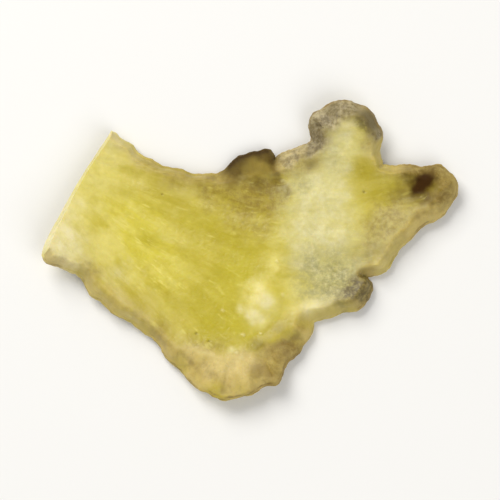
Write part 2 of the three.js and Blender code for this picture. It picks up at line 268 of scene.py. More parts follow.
# Zones of colour, laid over each other in this order: the colour of each on a display, its mounds (middle,
# radius and strength), how ragged it is and the two strengths between which it fades in
ZONES = {
    "bright": (
        (220, 207, 90),
        [((-20, 4), 9, 1.0), ((-14, -3), 8, 0.7), ((17.2, 18), 4.5, 0.6)],
        0.25, 0.1, 1.1,
    ),
    "rich": (
        (192, 178, 42),
        [
            ((-5, -9), 7, 0.9), ((-2, -2.4), 5.5, 1.2), ((-4, -13), 4.5, 0.9), ((1.2, -15), 3.2, 1.2),
            ((-10, -6), 5, 0.4), ((-16.8, 2.2), 2.8, 0.9), ((-7.5, -14.6), 3.2, 0.9),
        ],
        0.3, 0.1, 1.1,
    ),
    "khaki": (
        (169, 149, 58),
        [
            ((-1, 6), 8, 0.8), ((0, 10.5), 6, 1.0), ((4, 8.5), 4.5, 1.0), ((4.6, 10.4), 3.5, 0.9),
            ((-6.6, 11.6), 4.8, 1.2), ((-12, 13.4), 4, 0.9), ((-16, 15), 3.4, 0.8),
            ((-7.2, 7.4), 3, 0.5), ((2.5, 2.5), 3, 0.5), ((5.4, 9.6), 2.6, 0.6), ((-15, -12.4), 3, 0.7),
            ((-9.6, -15.4), 3, 0.7), ((-4.8, -16.2), 2.6, 0.5), ((-7, -16.2), 2, 0.8),
            ((0, -17), 1.8, 0.8),
        ],
        0.25, 0.1, 1.3,
    ),
    "cream": (
        (228, 215, 124),
        [
            ((-28.5, -0.5), 6.5, 0.8), ((-23.5, 1), 6, 1.0), ((-19.5, -5), 4, 0.7), ((-21, 16), 5, 0.7),
            ((-19.5, 7.5), 5, 0.6), ((-16.8, 12.5), 3, 0.8), ((-12.5, 5.5), 3, 0.5),
            ((-12.5, -7.5), 2.5, 0.4), ((2.2, -8.4), 5.4, 1.1), ((1.5, -12.6), 3, 0.6),
            ((3, -12.4), 1.8, 0.7), ((4.2, -1.6), 4.2, 1.0), ((7.6, -6), 3.6, 1.1),
            ((8.7, -9.6), 4.2, 0.9),
        ],
        0.2, 0.1, 1.2,
    ),
    # Whitish frost over the right half, partly a painted sheen
    "frost": (
        (221, 213, 162),
        [
            ((12, 7), 10, 1.3), ((13, 12), 7, 0.9), ((15.6, 18.5), 7, 1.6), ((8, 3), 7, 0.8),
            ((14, 0), 8, 1.0), ((12.5, -6.5), 7, 1.3), ((21, 1), 5, 0.6), ((6.5, 11.5), 6.5, 0.6),
            ((17, -4), 5, 0.6), ((17.6, 18.2), 3.6, -0.2), ((18.2, 15), 3, -0.3),
            ((8.4, -2.2), 4.5, 0.9), ((-30.5, -0.5), 4.5, 1.0), ((-22.5, -5), 3.5, 0.8),
        ],
        0.3, 0.0, 2.1,
    ),
    # Greyish flesh, partly painted shade: the shade below the arm and in the valley by the small lobe is
    # painted here
    "haze": (
        (182, 166, 96),
        [
            ((20.5, 2.5), 6.5, 0.7), ((24.5, 5), 8, 1.4), ((18.5, -3), 5.5, 0.9),
            ((7.4, 13.2), 3.4, 1.0), ((10.4, 14.8), 3.2, 1.4), ((19.6, 18.3), 2.8, 1.2),
            ((-25.8, -4), 3.4, 0.8), ((-27.8, -2), 2.6, 0.7),
        ],
        0.3, 0.1, 1.6,
    ),
    "mottle": (
        (154, 147, 92),
        [
            ((11.5, -4.5), 9, 1.5), ((15, -6), 5.5, 0.7), ((8, -1.5), 4.5, 0.1), ((17, -2), 5, 0.8),
            ((10, 2.5), 3.5, 0.5), ((8.2, 10.8), 4.2, 1.3), ((12.8, 16), 4.2, 0.9), ((14.5, 20.5), 3.2, 0.6),
        ],
        0.2, 0.1, 2.0,
    ),
    "beige": (
        (216, 195, 126),
        [
            ((-6, -18.8), 4.5, 0.6), ((-2, -20.2), 4.8, 0.9), ((1, -19.4), 2.4, 0.7),
            ((-9.5, -17.4), 3.2, 0.6), ((-6.5, -21), 3, 0.5), ((6.2, 15.5), 2.6, 0.5),
            ((9.2, 16.8), 2.2, 0.6),
        ],
        0.3, 0.1, 1.1,
    ),
    "olive": (
        (184, 168, 54),
        [
            ((18.9, 10.8), 4.6, 1.4), ((19.2, 14.2), 3.4, 0.8), ((23, 11), 5, 0.9),
            ((22.2, 8.4), 3.8, 1.1), ((5.2, -13.2), 4.4, 1.6), ((3, -14.8), 2.8, 1.0),
            ((0.8, -16), 2.6, 1.8), ((-2.8, -14.6), 2.2, 0.9), ((-5, -15), 2.6, 0.7),
            ((-5.5, -24.6), 4.2, 1.5), ((-0.8, -23.6), 2.4, 0.9), ((8, -15), 2.2, 0.9),
            ((-11.8, -19), 3.3, 0.9),
        ],
        0.25, 0.1, 1.5,
    ),
    "brown": (
        (112, 90, 28),
        [
            ((28.8, 11.2), 8.5, 1.5), ((32.5, 9), 6, 0.3), ((5.2, -19.2), 6.5, 0.9),
            ((7.8, -16.2), 3.8, 0.8), ((2.2, -23), 4, 0.7), ((1.5, 12), 3.8, 0.8),
            ((-3.5, 12.4), 3.3, 0.9), ((4.6, 12), 2.2, 0.5), ((2.4, 10.2), 3, 0.6),
            ((-2.4, 10), 2.4, 0.6), ((5.2, 9.8), 2.6, 0.8), ((23.2, 9), 3.2, 0.5),
            ((1.3, -16), 2.4, 0.7), ((5, -13), 2.4, 0.5),
        ],
        0.25, 0.1, 1.7,
    ),
    # Painted shade: dark grey-olive where shade falls, on the small lobes, below the arm, round the bud's rim
    # and in the valley by the small lobe
    "dusk": (
        (102, 87, 38),
        [
            ((18.7, -6.6), 4.2, 2.5), ((15.8, -8.2), 3.4, 1.2), ((19.2, -1.6), 2.4, 0.6),
            ((21.2, 0), 3.6, 0.8), ((20.5, 21), 3.6, 1.6), ((18, 22.8), 3, 1.2),
            ((13.4, 23.6), 2.4, 1.0), ((10.6, 21.4), 2.6, 0.4), ((12.6, 19.8), 2.6, 0.8),
            ((10.2, 14.8), 2.4, 1.0), ((5.4, 9.8), 2.8, 0.8),
        ],
        0.25, 0.1, 1.9,
    ),
    # Whitish flesh, with painted highlights on the pale swelling and on the heel
    "white": (
        (236, 225, 174),
        [
            ((-33, 3), 8, 0.9), ((-30.5, 0), 5, 0.6), ((-30, 7), 5, 0.4), ((-22.8, 18), 4.5, 0.7),
            ((-28.8, -2.6), 2.8, 0.5), ((-21.5, -3), 4, 0.5), ((2.6, -8.4), 2.1, 1.4),
            ((2.0, -6.6), 2.0, 0.6), ((0.6, -8.2), 1.6, 0.5), ((-1.5, -9.6), 1.7, 0.7),
            ((0.8, -11.2), 2.0, 1.2), ((0, -10.0), 1.6, 0.9), ((2.2, -11.4), 1.4, 0.5),
            ((7.6, -2.6), 2.2, 0.4), ((9.8, -10), 2.6, 1.0), ((12.6, -9.8), 2.6, 0.6),
            ((-3, -17), 1.4, 0.6), ((-1.2, -18.6), 1.0, 0.7),
        ],
        0.3, 0.1, 1.4,
    ),
}

# Zones that colour only the skin
SKIN_ZONES = {
    "bark": ([((0, 14.8), 7, 1.3)], 0.1, 0.1, 0.8),
    "crown": ([((0.7, 13.7), 3.4, 0.9), ((2.6, 13.2), 2.2, 0.8)], 0.2, 0.1, 1.0),
    "ash": (
        [((15, 23), 6, 1.3), ((20.2, 20.6), 3.8, 1.4), ((11.5, 19.8), 5.5, 1.3), ((8.5, 16.5), 6, 1.2)],
        0.15, 0.1, 0.9,
    ),
    "bare": (
        [
            ((-20, 17), 9, 1.3), ((-13, 13.5), 7, 1.3), ((14, -10), 6, 1.0), ((23, -1), 7, 1.0),
            ((21.6, 16), 4, 1.4), ((-27.5, -6), 8, 1.0), ((-19, -12.5), 8, 0.8), ((9.5, -11), 4, 0.9),
        ],
        0.1, 0.1, 0.9,
    ),
}

# Other colours on a display. Those called shades darken what they are laid over.
TONES = {
    "green flesh": (190, 175, 46),
    "yellow flesh": (208, 194, 84),
    "flesh near the skin": (200, 182, 114),
    "streak shade": (244, 242, 192),
    "blotch shade": (243, 242, 222),
    "dingy shade": (220, 211, 198),
    "dark thread": (212, 199, 58),
    "pale thread": (238, 227, 122),
    "yellowed frost": (208, 199, 130),
    "frost crystal": (242, 236, 182),
    "frost gap": (176, 168, 106),
    "brown_stain_and_shade": (62, 38, 8),
    "skin": (182, 159, 80),
    "pale skin": (204, 183, 102),
    "rim": (214, 194, 120),
    "ring": (158, 134, 66),
    "dark ash": (132, 118, 79),
    "pale ash": (188, 174, 135),
    "ash arc": (112, 98, 66),
    "weathered skin": (170, 144, 84),
    # Painted shade in the skin's creases
    "crease shade": (132, 104, 52),
    "bark": (104, 86, 38),
    "bark rim": (66, 48, 22),
    "bark blotch": (80, 60, 22),
    "crown of the bark": (140, 121, 54),
    "skin fleck": (120, 98, 52),
    "floor": (238, 237, 234),
}
# Of these, the dark grey-olive zone is painted shade and the white one holds painted highlights
SKIN_TONES = ("khaki", "beige", "olive", "brown", "dusk", "white")  # zones that also colour the skin

# Noise textures that follow the fibres: the number of patches in a millimetre across the fibres, along them
# and upwards, then their detail and roughness
FIBRE_TEXTURES = {
    "streaks": ((0.9, 0.15, 1.0), 3.0, 0.55),
    "threads": ((2.4, 0.34, 2.0), 2.0, 0.5),
    "bands": ((0.4, 0.09, 0.4), 3.0, 0.6),
}

# Noise textures that are the same in every direction: the number of patches in a metre, detail and roughness
ROUND_TEXTURES = {
    "cloud": (450, 3.0, 0.6),
    "blotch": (900, 3.0, 0.65),
    "speckle": (1300, 3.0, 0.65),
    "grain": (2200, 2.0, 0.6),
}

# Set of the picture, in metres and watts
FLOOR_HALF = 2.0  # half of the floor's width
KEY_LIGHT = {"place": (-0.3, 0.42, 0.6), "size": 0.5, "power": 5.0, "tint": (1.0, 0.985, 0.96)}
FILL_LIGHT = {"place": (0.38, -0.42, 0.62), "size": 0.6, "power": 2.8, "tint": (1.0, 1.0, 1.0)}
SKY_STRENGTH = 0.34
CAMERA_OFFSET = (0.015, -0.051, 0.408)  # from the middle of the slice
LENS = 182

# How the outline is drawn and the mesh shaded
CUT_FADE = 1.0  # length of the outline over which the skin sets in at either end of the cut
CURVE_SAMPLES = 80  # between two of the points that a curve goes through
NORMAL_REACH = 5  # points before and after a place of the outline that give its direction
SHARP_ANGLE = math.radians(50)  # edges sharper than this aren't shaded smooth


def smooth_step(values, low, high):
    """0 up to the low value and 1 from the high one on, with a smooth rise between them."""
    share = np.clip((values - low) / (high - low), 0, 1)
    return share**2 * (3 - 2 * share)


def arch(share):
    """1 half-way and 0 at shares 0 and 1."""
    return 4 * share * (1 - share)


def mound(points, middle, radius):
    """Height of a smooth mound, 1 in the middle and 0 from its radius on."""
    squared = ((points - middle) ** 2).sum(axis=1)
    return np.maximum(0, 1 - squared / radius**2) ** 2


def mounds(points, table):
    """Sum of mounds given as middle, radius and height."""
    return sum(height * mound(points, middle, radius) for middle, radius, height in table)


def spots(points, table):
    """Small round mounds of height 1, given as middle and radius, that don't add up where they meet."""
    total = np.zeros(len(points))
    for middle, radius in table:
        total = np.maximum(total, mound(points, middle, radius))
    return total


def wave(position, shape, drift_position=None):
    """Height of a wave that drifts out of step along the position, or along another one that is given."""
    spacing, height, drift, span = shape
    drift_position = position if drift_position is None else drift_position
    return height * np.sin(2 * np.pi * position / spacing + drift * np.sin(drift_position / span))


def noise(first, second, seed):
    """Smooth random heights, mostly between -1 and 1, with one bump in each unit square."""
    size = 256
    angles = np.random.default_rng(seed).uniform(0, 2 * np.pi, (size, size))
    column, row = np.floor(first).astype(int), np.floor(second).astype(int)
    x, y = first - column, second - row

    def corner(right, up):
        angle = angles[(column + right) % size, (row + up) % size]
        return np.cos(angle) * (x - right) + np.sin(angle) * (y - up)

    across, upward = (t**3 * (t * (6 * t - 15) + 10) for t in (x, y))
    low = corner(0, 0) * (1 - across) + corner(1, 0) * across
    high = corner(0, 1) * (1 - across) + corner(1, 1) * across
    return 1.5 * (low * (1 - upward) + high * upward)


def bumps(name, first, second):
    """Height of the random bumps of that name at places given by two coordinates."""
    return sum(
        height * noise(first / spacing, second / second_spacing, seed)
        for spacing, second_spacing, height, seed in BUMPS[name]
    )


def distance_along(points):
    return np.concatenate([[0], np.linalg.norm(np.diff(points, axis=0), axis=1).cumsum()])


def curve_points(through, step):
    """Evenly spaced points of a smooth curve through the given ones, without its last point."""
    through = np.array(through, float)
    last = len(through) - 1
    shares = np.linspace(0, 1, CURVE_SAMPLES, endpoint=False)[:, None]
    pieces = []
    for index in range(last):
        start, end = through[index], through[index + 1]
        leave = (end - through[max(index - 1, 0)]) / 2
        arrive = (through[min(index + 2, last)] - start) / 2
        cubic = 2 * start - 2 * end + leave + arrive
        square = 3 * end - 3 * start - 2 * leave - arrive
        pieces.append(cubic * shares**3 + square * shares**2 + leave * shares + start)
    dense = np.concatenate([*pieces, through[-1:]])
    travelled = distance_along(dense)
    wanted = np.linspace(0, travelled[-1], max(1, round(travelled[-1] / step)), endpoint=False)
    return np.stack([np.interp(wanted, travelled, dense[:, axis]) for axis in (0, 1)], axis=1)


def outward_normals(points, reach):
    """Unit directions square to a closed outline, to the outside, from the points that far either way."""
    chord = np.roll(points, -reach, axis=0) - np.roll(points, reach, axis=0)
    normals = np.stack([chord[:, 1], -chord[:, 0]], axis=1)
    return normals / np.linalg.norm(normals, axis=1, keepdims=True)


class Outline:
    """The slice's closed outline, counter-clockwise: first the skin, then the cut end."""

    def __init__(self):
        stretches, start = [], CUT_CORNER
        for stretch in SKIN_STRETCHES:
            stretches.append(curve_points([start, *stretch], EDGE_STEP))
            start = stretch[-1]
        skin = np.concatenate(stretches)
        drawn = np.concatenate([skin, curve_points(CUT_END, EDGE_STEP)])
        self.skin_count = len(skin)
        self.along = distance_along(drawn)
        self.normals = outward_normals(drawn, NORMAL_REACH)
        self.skin = self.fade_at_cut(CUT_FADE)
        self.points = drawn + self.normals * (self.skin * self.scallops())[:, None]
        self.steps = np.roll(self.points, -1, axis=0) - self.points

    def fade_at_cut(self, span):
        """1 along the skin and 0 along the cut end, with a short fade at each of its corners."""
        end = self.along[self.skin_count]
        fade = smooth_step(self.along, 0, span) * smooth_step(end - self.along, 0, span)
        return np.where(np.arange(len(self.along)) < self.skin_count, fade, 0)

    def scallops(self):
        """The skin's waves, with finer crinkles on them."""
        return wave(self.along, SKIN_SCALLOPS) + bumps("outline crinkles", self.along, 0 * self.along)

    def nearest(self, points, count, at_once=1000):
        """Distance from each point to the first edges of the outline, and how far along that place is."""
        starts, steps = self.points[:count], self.steps[:count]
        squares = (steps**2).sum(axis=1)
        distances, alongs = [], []
        for group in np.array_split(points, max(1, len(points) // at_once)):
            away = group[:, None] - starts
            shares = np.clip((away * steps).sum(axis=2) / squares, 0, 1)
            squared = ((away - shares[:, :, None] * steps) ** 2).sum(axis=2)
            found = squared.argmin(axis=1)
            rows = np.arange(len(group))
            distances.append(np.sqrt(squared[rows, found]))
            alongs.append(self.along[found] + shares[rows, found] * EDGE_STEP)
        return np.concatenate(distances), np.concatenate(alongs)

    def nearest_skin(self, points):
        return self.nearest(points, self.skin_count)

    def contains(self, points):
        """Whether a line from each point towards +X crosses the outline an odd number of times."""
        inside = np.zeros(len(points), bool)
        for start, step in zip(self.points, self.steps):
            spans = (start[1] > points[:, 1]) != (start[1] + step[1] > points[:, 1])
            rise = step[1] if step[1] else 1.0
            inside ^= spans & (points[:, 0] < start[0] + (points[:, 1] - start[1]) / rise * step[0])
        return inside


OUTLINE = Outline()


def grid_points(step):
    """Even triangular grid over the box of the outline."""
    low, high = OUTLINE.points.min(axis=0), OUTLINE.points.max(axis=0)
    rows = []
    for row, y in enumerate(np.arange(low[1], high[1], step * math.sqrt(3) / 2)):
        xs = np.arange(low[0] + (row % 2) * step / 2, high[0], step)
        rows.append(np.stack([xs, np.full(len(xs), y)], axis=1))
    return np.concatenate(rows)


def plan_of(step):
    """Points and triangles of the slice seen from above. The outline's points come first."""
    edge = OUTLINE.points
    inner = grid_points(step)
    inner = inner[OUTLINE.contains(inner)]
    inner = inner[OUTLINE.nearest(inner, len(edge))[0] > POINT_ROOM * step]
    points = np.concatenate([edge, inner])
    ring = [(index, (index + 1) % len(edge)) for index in range(len(edge))]
    made = delaunay_2d_cdt([Vector(point) for point in points], ring, [], 0, MERGE_DISTANCE, True)
    _, _, faces, sources, _, _ = made
    order = np.array([source[0] for source in sources])
    triangles = order[np.array(faces)]
    return points, triangles[OUTLINE.contains(points[triangles].mean(axis=1))]


def underside(points):
    """Height of the underside: zero where the slice rests, and rising smoothly to the lifted edges."""
    height = mounds(points, BUCKLES)
    for start, heading, reach, lift in CURLS:
        angle = math.radians(heading)
        along = (points - start) @ (math.cos(angle), math.sin(angle))
        height = height + lift * np.maximum(0, along / reach) ** 2
    return height


def underside_normals(points):
    """Unit directions square to the underside, into the slice."""
    nudge = 0.05
    slopes = [
        (underside(points + step) - underside(points - step)) / (2 * nudge)
        for step in ((nudge, 0), (0, nudge))
    ]
    normals = np.stack([-slopes[0], -slopes[1], np.ones(len(points))], axis=1)
    return normals / np.linalg.norm(normals, axis=1, keepdims=True)


def fibre_coordinates(points):
    """Coordinate that is constant along each fibre, and the one that runs along them."""
    local = points - (np.array(CUT_TIP) + CUT_CORNER) / 2
    along = local @ (math.cos(FIBRE_HEADING), math.sin(FIBRE_HEADING))
    across = local @ (-math.sin(FIBRE_HEADING), math.cos(FIBRE_HEADING))
    bend = FIBRE_BEND_RATE * np.maximum(0, along - FIBRE_BEND_FROM) ** 2
    bend = bend * smooth_step(across, *FIBRE_BEND_SIDES)
    return (across - bend) / (1 + along / FIBRE_FAN), along


def groove_depth(points):
    """Depth of the grooves of the underside, where it is clear of the surface."""
    clear = smooth_step(underside(points), 0, GROOVE_RISE)
    across, _ = fibre_coordinates(points)
    return clear * (UNDERSIDE_GROOVES[1] + wave(across, UNDERSIDE_GROOVES, points[:, 0]))


def zone(points, places, ragged, low, high, seed):
    """Strength of a zone at each point, from 0 to 1."""
    x, y = points.T
    rough = sum(
        height * noise(x / spacing, y / spacing, seed + index)
        for index, (spacing, height) in enumerate(ZONE_BUMPS)
    )
    return smooth_step(mounds(points, places) + ragged * rough, low, high)


def zones(points):
    """Strength of every zone at each point, and how clearly the fibres show there."""
    named = {name: shape for name, (_, *shape) in ZONES.items()} | SKIN_ZONES
    strengths = {}
    for index, (name, shape) in enumerate(named.items()):
        seed = FIRST_ZONE_SEED + len(ZONE_BUMPS) * index
        strengths[name] = zone(points, *shape, seed=seed)
    x, y = points.T
    _, lengthwise = fibre_coordinates(points)
    paling = 1 - smooth_step(lengthwise + bumps("cut paling", x, y), *CUT_PALING)
    strengths["cream"] = np.maximum(strengths["cream"], paling)
    # Frost with its painted sheen, and grey haze with its painted shade, taken together
    strengths["frosted"] = np.maximum(strengths["frost"], strengths["haze"])
    hidden = np.maximum(FROST_COVER * strengths["frosted"], CREAM_COVER * strengths["cream"])
    strengths["fibrous"] = 1 - hidden
    return strengths


def near_edge(distance):
    """1 at the skin's edge, and 0 where the skin's wrinkles have died out."""
    return 1 - smooth_step(distance, *WRINKLE_REACH)


def solid_form(points, distance, along, width):
    """Thickness of the slice under each point, the same as the solid's."""
    x, y = points.T
    share = np.minimum(1, distance / width)
    slant = EDGE_SHARE + (1 - EDGE_SHARE) * share * (1 + SKIN_ROUNDING * (1 - share))
    wrinkles = arch(share) * near_edge(distance) * wave(along, SKIN_WRINKLES)
    across, _ = fibre_coordinates(points)
    height, span_x, span_y = FLESH_SWELL
    swell = height * np.sin(x / span_x) * np.cos(y / span_y)
    inside = smooth_step(distance - width, 0, SINK_SPAN)
    flesh = inside * (wave(across, FIBRE_RIDGES, x) + swell - FLESH_SINK)
    return THICKNESS * slant + wrinkles + flesh + share * mounds(points, LUMPS)


def flesh_relief(points, frost):
    """Fine relief of the flesh: patches of fibres, grain, and a crust where it is frosted."""
    x, y = points.T
    patches = smooth_step(bumps("fibre patches", x, y), *PATCH_LIMITS)
    fibres = bumps("fibres", *fibre_coordinates(points)) * patches
    return fibres * (1 - FROST_LEVELLING * frost) + bumps("grain", x, y) + bumps("frosting", x, y) * frost


def skin_relief(points, distance, along, width, rings):
    """Fine relief of the skin: folds that run in from the edge, rings along it, crumpling and bosses."""
    x, y = points.T
    folds = bumps("skin folds", along, distance) * near_edge(distance)
    bosses = bumps("skin bosses", x, y) * smooth_step(width - SKIN_WIDTH, *BOSS_WIDTHS)
    relief = folds + RING_HEIGHT * rings + bumps("skin crumple", x, y) + bosses
    return relief * smooth_step(distance, 0, SKIN_RELIEF_FADE)


def pits_of_bud(points, share):
    """Small pits in the skin round the bud, where share says how far across the skin a point lies."""
    on_skin = (share > PIT_SHARES[0]) & (share < PIT_SHARES[1])
    on_bud = points[on_skin & (points > PITS_BEYOND).all(axis=1)]
    chosen = np.random.default_rng(51).choice(len(on_bud), PIT_COUNT, replace=False)
    radii = np.random.default_rng(53).uniform(*PIT_RADII, PIT_COUNT)
    return spots(points, zip(on_bud[chosen], radii))


def hollow_darkness(points):
    """Brown stain and painted shade in the deepest hollows, with a ragged edge."""
    return smooth_step(mounds(points, STAINS_AND_SHADE) + bumps("stain_and_shade_borders", *points.T), *STAIN_AND_SHADE_LIMITS)


def rim_at(distance):
    """Strength of the pale rim, 1 at the skin's edge."""
    return np.exp(-((distance / RIM_REACH) ** 2))


def upper_face(points):
    """Thickness of the slice under each point of its upper face, and what colours the point."""
    colours = zones(points)
    distance, along = OUTLINE.nearest_skin(points)
    width = SKIN_WIDTH + mounds(points, BROAD_SKIN)
    blur = LEAST_BLUR + SKIN_BLUR * (width - SKIN_WIDTH)
    flesh = smooth_step((distance - width - blur * bumps("skin border", *points.T)) / blur, -1, 1)

    rings = bumps("skin rings", along, distance) * near_edge(distance)
    relief = flesh * flesh_relief(points, colours["frosted"])
    relief += (1 - flesh) * skin_relief(points, distance, along, width, rings)
    specks = spots(points, SPECKS)
    pinholes = spots(points, PINHOLES)
    pits = pits_of_bud(points, np.minimum(1, distance / width))
    thickness = solid_form(points, distance, along, width) + relief
    thickness += SPECK_HEIGHT * specks - PIT_DEPTH * pits - PINHOLE_DEPTH * pinholes

    edge = np.exp(-np.maximum(0, distance - width) / EDGE_REACH)
    for name in ("bright", "cream"):
        colours[name] = colours[name] * (1 - EDGE_DULLING * edge)
    # Painted glints laid on the specks as white
    colours["white"] = np.maximum(colours["white"], SPECK_PAINTED_GLINT * specks)
    # Grey ash and painted shade keep the wall's weathering off the skin
    ash_and_painted_shade = np.maximum(colours["ash"], colours["dusk"])
    band_distance, band_half = BAND
    colours.update(
        skin=1 - flesh,
        rim=rim_at(distance),
        rings=rings,
        band=np.exp(-(((distance - band_distance) / band_half) ** 2)),
        edge=edge,
        relief=np.clip(relief / FULL_RELIEF, -1, 1),
        # Brown stain and painted shade in the pits, pinholes and deepest hollows
        dark=np.maximum.reduce([PIT_DARKNESS * pits, PINHOLE_DARKNESS * pinholes, hollow_darkness(points)]),
        wall=WEATHERING * (1 - flesh) * near_edge(distance) * (1 - ash_and_painted_shade),
    )
    return thickness, colours


def lower_face(points):
    """Height of the fine relief of the underside, always upwards, and what colours each of its points."""
    distance, along = OUTLINE.nearest_skin(points)
    relief = bumps("fibres below", *fibre_coordinates(points)) + bumps("grain below", *points.T)
    before, past = SKIN_BELOW_FADE
    flesh = smooth_step(distance, SKIN_BELOW - before, SKIN_BELOW + past)
    colours = zones(points)
    colours.update(
        skin=1 - flesh,
        rim=rim_at(distance),
        rings=bumps("skin rings", along, distance) * (1 - flesh),
        band=np.zeros(len(points)),
        edge=np.exp(-np.maximum(0, distance - SKIN_BELOW) / EDGE_REACH_BELOW),
        relief=np.clip(relief / FULL_RELIEF_BELOW, -1, 1),
        dark=np.zeros(len(points)),
        wall=np.zeros(len(points)),
    )
    return np.maximum(0, relief) * flesh + groove_depth(points), colours


def wall_ring(share, below, above, zone_colours):
    """Points of the wall at a share of its height, and what colours each of them."""
    count = len(OUTLINE.points)
    bulge = arch(share) ** WALL_FULLNESS
    rough = bumps("wall", OUTLINE.along, np.full(count, share))
    skin_part = OUTLINE.skin * (SKIN_BULGE + rough)
    cut_part = (1 - OUTLINE.skin) * CUT_ROUGHNESS * rough
    ring = below * (1 - share) + above * share
    ring[:, :2] += OUTLINE.normals * (bulge * (skin_part + cut_part))[:, None]
    depth = WALL_DEPTH * min(share, 1 - share)
    colours = {
        **zone_colours,
        "skin": OUTLINE.skin,
        "rim": np.full(count, RIM_ON_WALL),
        "rings": bumps("skin rings", OUTLINE.along, np.full(count, -depth)),
        "band": np.zeros(count),
        "edge": np.ones(count),
        "relief": np.clip(rough / FULL_RELIEF, -1, 1),
        "dark": np.zeros(count),
        "wall": np.full(count, bulge),
    }
    return ring, colours


def make_slice():
    """One closed mesh: the upper face, the underside and the wall between them."""
    above_plan, above_triangles = plan_of(ABOVE_STEP)
    below_plan, below_triangles = plan_of(BELOW_STEP)
    edge_count = len(OUTLINE.points)

    thickness, above_colours = upper_face(above_plan)
    above = np.column_stack([above_plan, underside(above_plan)])
    above += underside_normals(above_plan) * thickness[:, None]
    rise, below_colours = lower_face(below_plan)
    below = np.column_stack([below_plan, underside(below_plan) + rise])

    edge_zones = zones(OUTLINE.points)
    shares = [row / WALL_ROWS for row in range(1, WALL_ROWS)]
    rings, ring_colours = zip(
        *(wall_ring(share, below[:edge_count], above[:edge_count], edge_zones) for share in shares)
    )

    vertices = np.concatenate([above, below, *rings])
    parts = [above_colours, below_colours, *ring_colours]
    values = {name: np.concatenate([part[name] for part in parts]) for name in above_colours}
    across, lengthwise = fibre_coordinates(vertices[:, :2])
    values["fibre"] = np.column_stack([across, lengthwise, vertices[:, 2]])

    below_start = len(above)
    triangles = [above_triangles, below_start + below_triangles[:, ::-1]]
    first_ring = below_start + len(below)
    starts = [below_start, *(first_ring + row * edge_count for row in range(len(rings))), 0]
    here = np.arange(edge_count)
    following = (here + 1) % edge_count
    for lower, upper in zip(starts, starts[1:]):
        triangles.append(np.column_stack([lower + here, lower + following, upper + following]))
        triangles.append(np.column_stack([lower + here, upper + following, upper + here]))
    return mesh_object("rhizome_slice_flesh", vertices * MM, np.concatenate(triangles), values)


def mesh_object(name, vertices, triangles, values):
    """Smooth-shaded object that keeps the values, numbers or vectors, at its points."""
    mesh = bpy.data.meshes.new(name)
    mesh.from_pydata(vertices.tolist(), [], triangles.tolist())
    for key, numbers in values.items():
        kind, field = ("FLOAT", "value") if numbers.ndim == 1 else ("FLOAT_VECTOR", "vector")
        mesh.attributes.new(key, kind, "POINT").data.foreach_set(field, numbers.astype(np.float32).ravel())
    mesh.shade_smooth()
    mesh.set_sharp_from_angle(angle=SHARP_ANGLE)
    made = bpy.data.objects.new(name, mesh)
    bpy.context.collection.objects.link(made)
    return made


def colour(red, green, blue):
    """Linear colour with alpha, from the 0 to 255 values of a display."""
    def linear(value):
        share = value / 255
        return share / 12.92 if share <= 0.04045 else ((share + 0.055) / 1.055) ** 2.4

    return (linear(red), linear(green), linear(blue), 1.0)


def tone(name):
    return colour(*TONES[name])


class Shader:
    """One material and the nodes that feed it."""

    def __init__(self, name):
        self.material = bpy.data.materials.new(name)
        self.material.use_nodes = True
        self.tree = self.material.node_tree
        self.surface = self.tree.nodes["Principled BSDF"]

    def node(self, kind, inputs, output=0, **settings):
        """Adds a node, sets or links its inputs, and returns one of its outputs."""
        made = self.tree.nodes.new(kind)
        for name, value in settings.items():
            setattr(made, name, value)
        for name, value in inputs.items():
            self.feed(made.inputs[name], value)
        return made.outputs[output]

    def feed(self, socket, value):
        if isinstance(value, bpy.types.NodeSocket):
            self.tree.links.new(value, socket)
        else:
            socket.default_value = value

    def value(self, name):
        """A number stored on the mesh."""
        return self.node("ShaderNodeAttribute", {}, "Fac", attribute_name=name)

    def place(self, name, scale):
        """A vector stored on the mesh, scaled along its axes."""
        stored = self.node("ShaderNodeAttribute", {}, "Vector", attribute_name=name)
        return self.node("ShaderNodeVectorMath", {0: stored, 1: scale}, operation="MULTIPLY")

    def scaled(self, vector, scale):
        return self.node("ShaderNodeVectorMath", {0: vector, "Scale": scale}, operation="SCALE")

    def noise(self, place, detail, roughness):
        settings = {"Vector": place, "Scale": 1.0, "Detail": detail, "Roughness": roughness}
        return self.node("ShaderNodeTexNoise", settings)

    def ramp(self, value, low, high, start=0.0, end=1.0):
        """Fades smoothly from one number to another as the value goes from low to high."""
        limits = {"Value": value, "From Min": low, "From Max": high, "To Min": start, "To Max": end}
        return self.node("ShaderNodeMapRange", limits, interpolation_type="SMOOTHSTEP")

    def multiply(self, first, second):
        return self.node("ShaderNodeMath", {0: first, 1: second}, operation="MULTIPLY")

    def add(self, first, second):
        return self.node("ShaderNodeMath", {0: first, 1: second}, operation="ADD")

    def mix(self, share, first, second, blend="MIX"):
        inputs = {0: share, 6: first, 7: second}
        return self.node("ShaderNodeMix", inputs, 2, data_type="RGBA", blend_type=blend)

    def grey(self, value):
        return self.node("ShaderNodeCombineColor", {0: value, 1: value, 2: value})


def textures(shader):
    """The noise textures by name."""
    made = {}
    for name, (scales, detail, roughness) in FIBRE_TEXTURES.items():
        made[name] = shader.noise(shader.place("fibre", scales), detail, roughness)
    position = shader.node("ShaderNodeTexCoord", {}, "Object")
    for name, (scale, detail, roughness) in ROUND_TEXTURES.items():
        made[name] = shader.noise(shader.scaled(position, scale), detail, roughness)
    return made


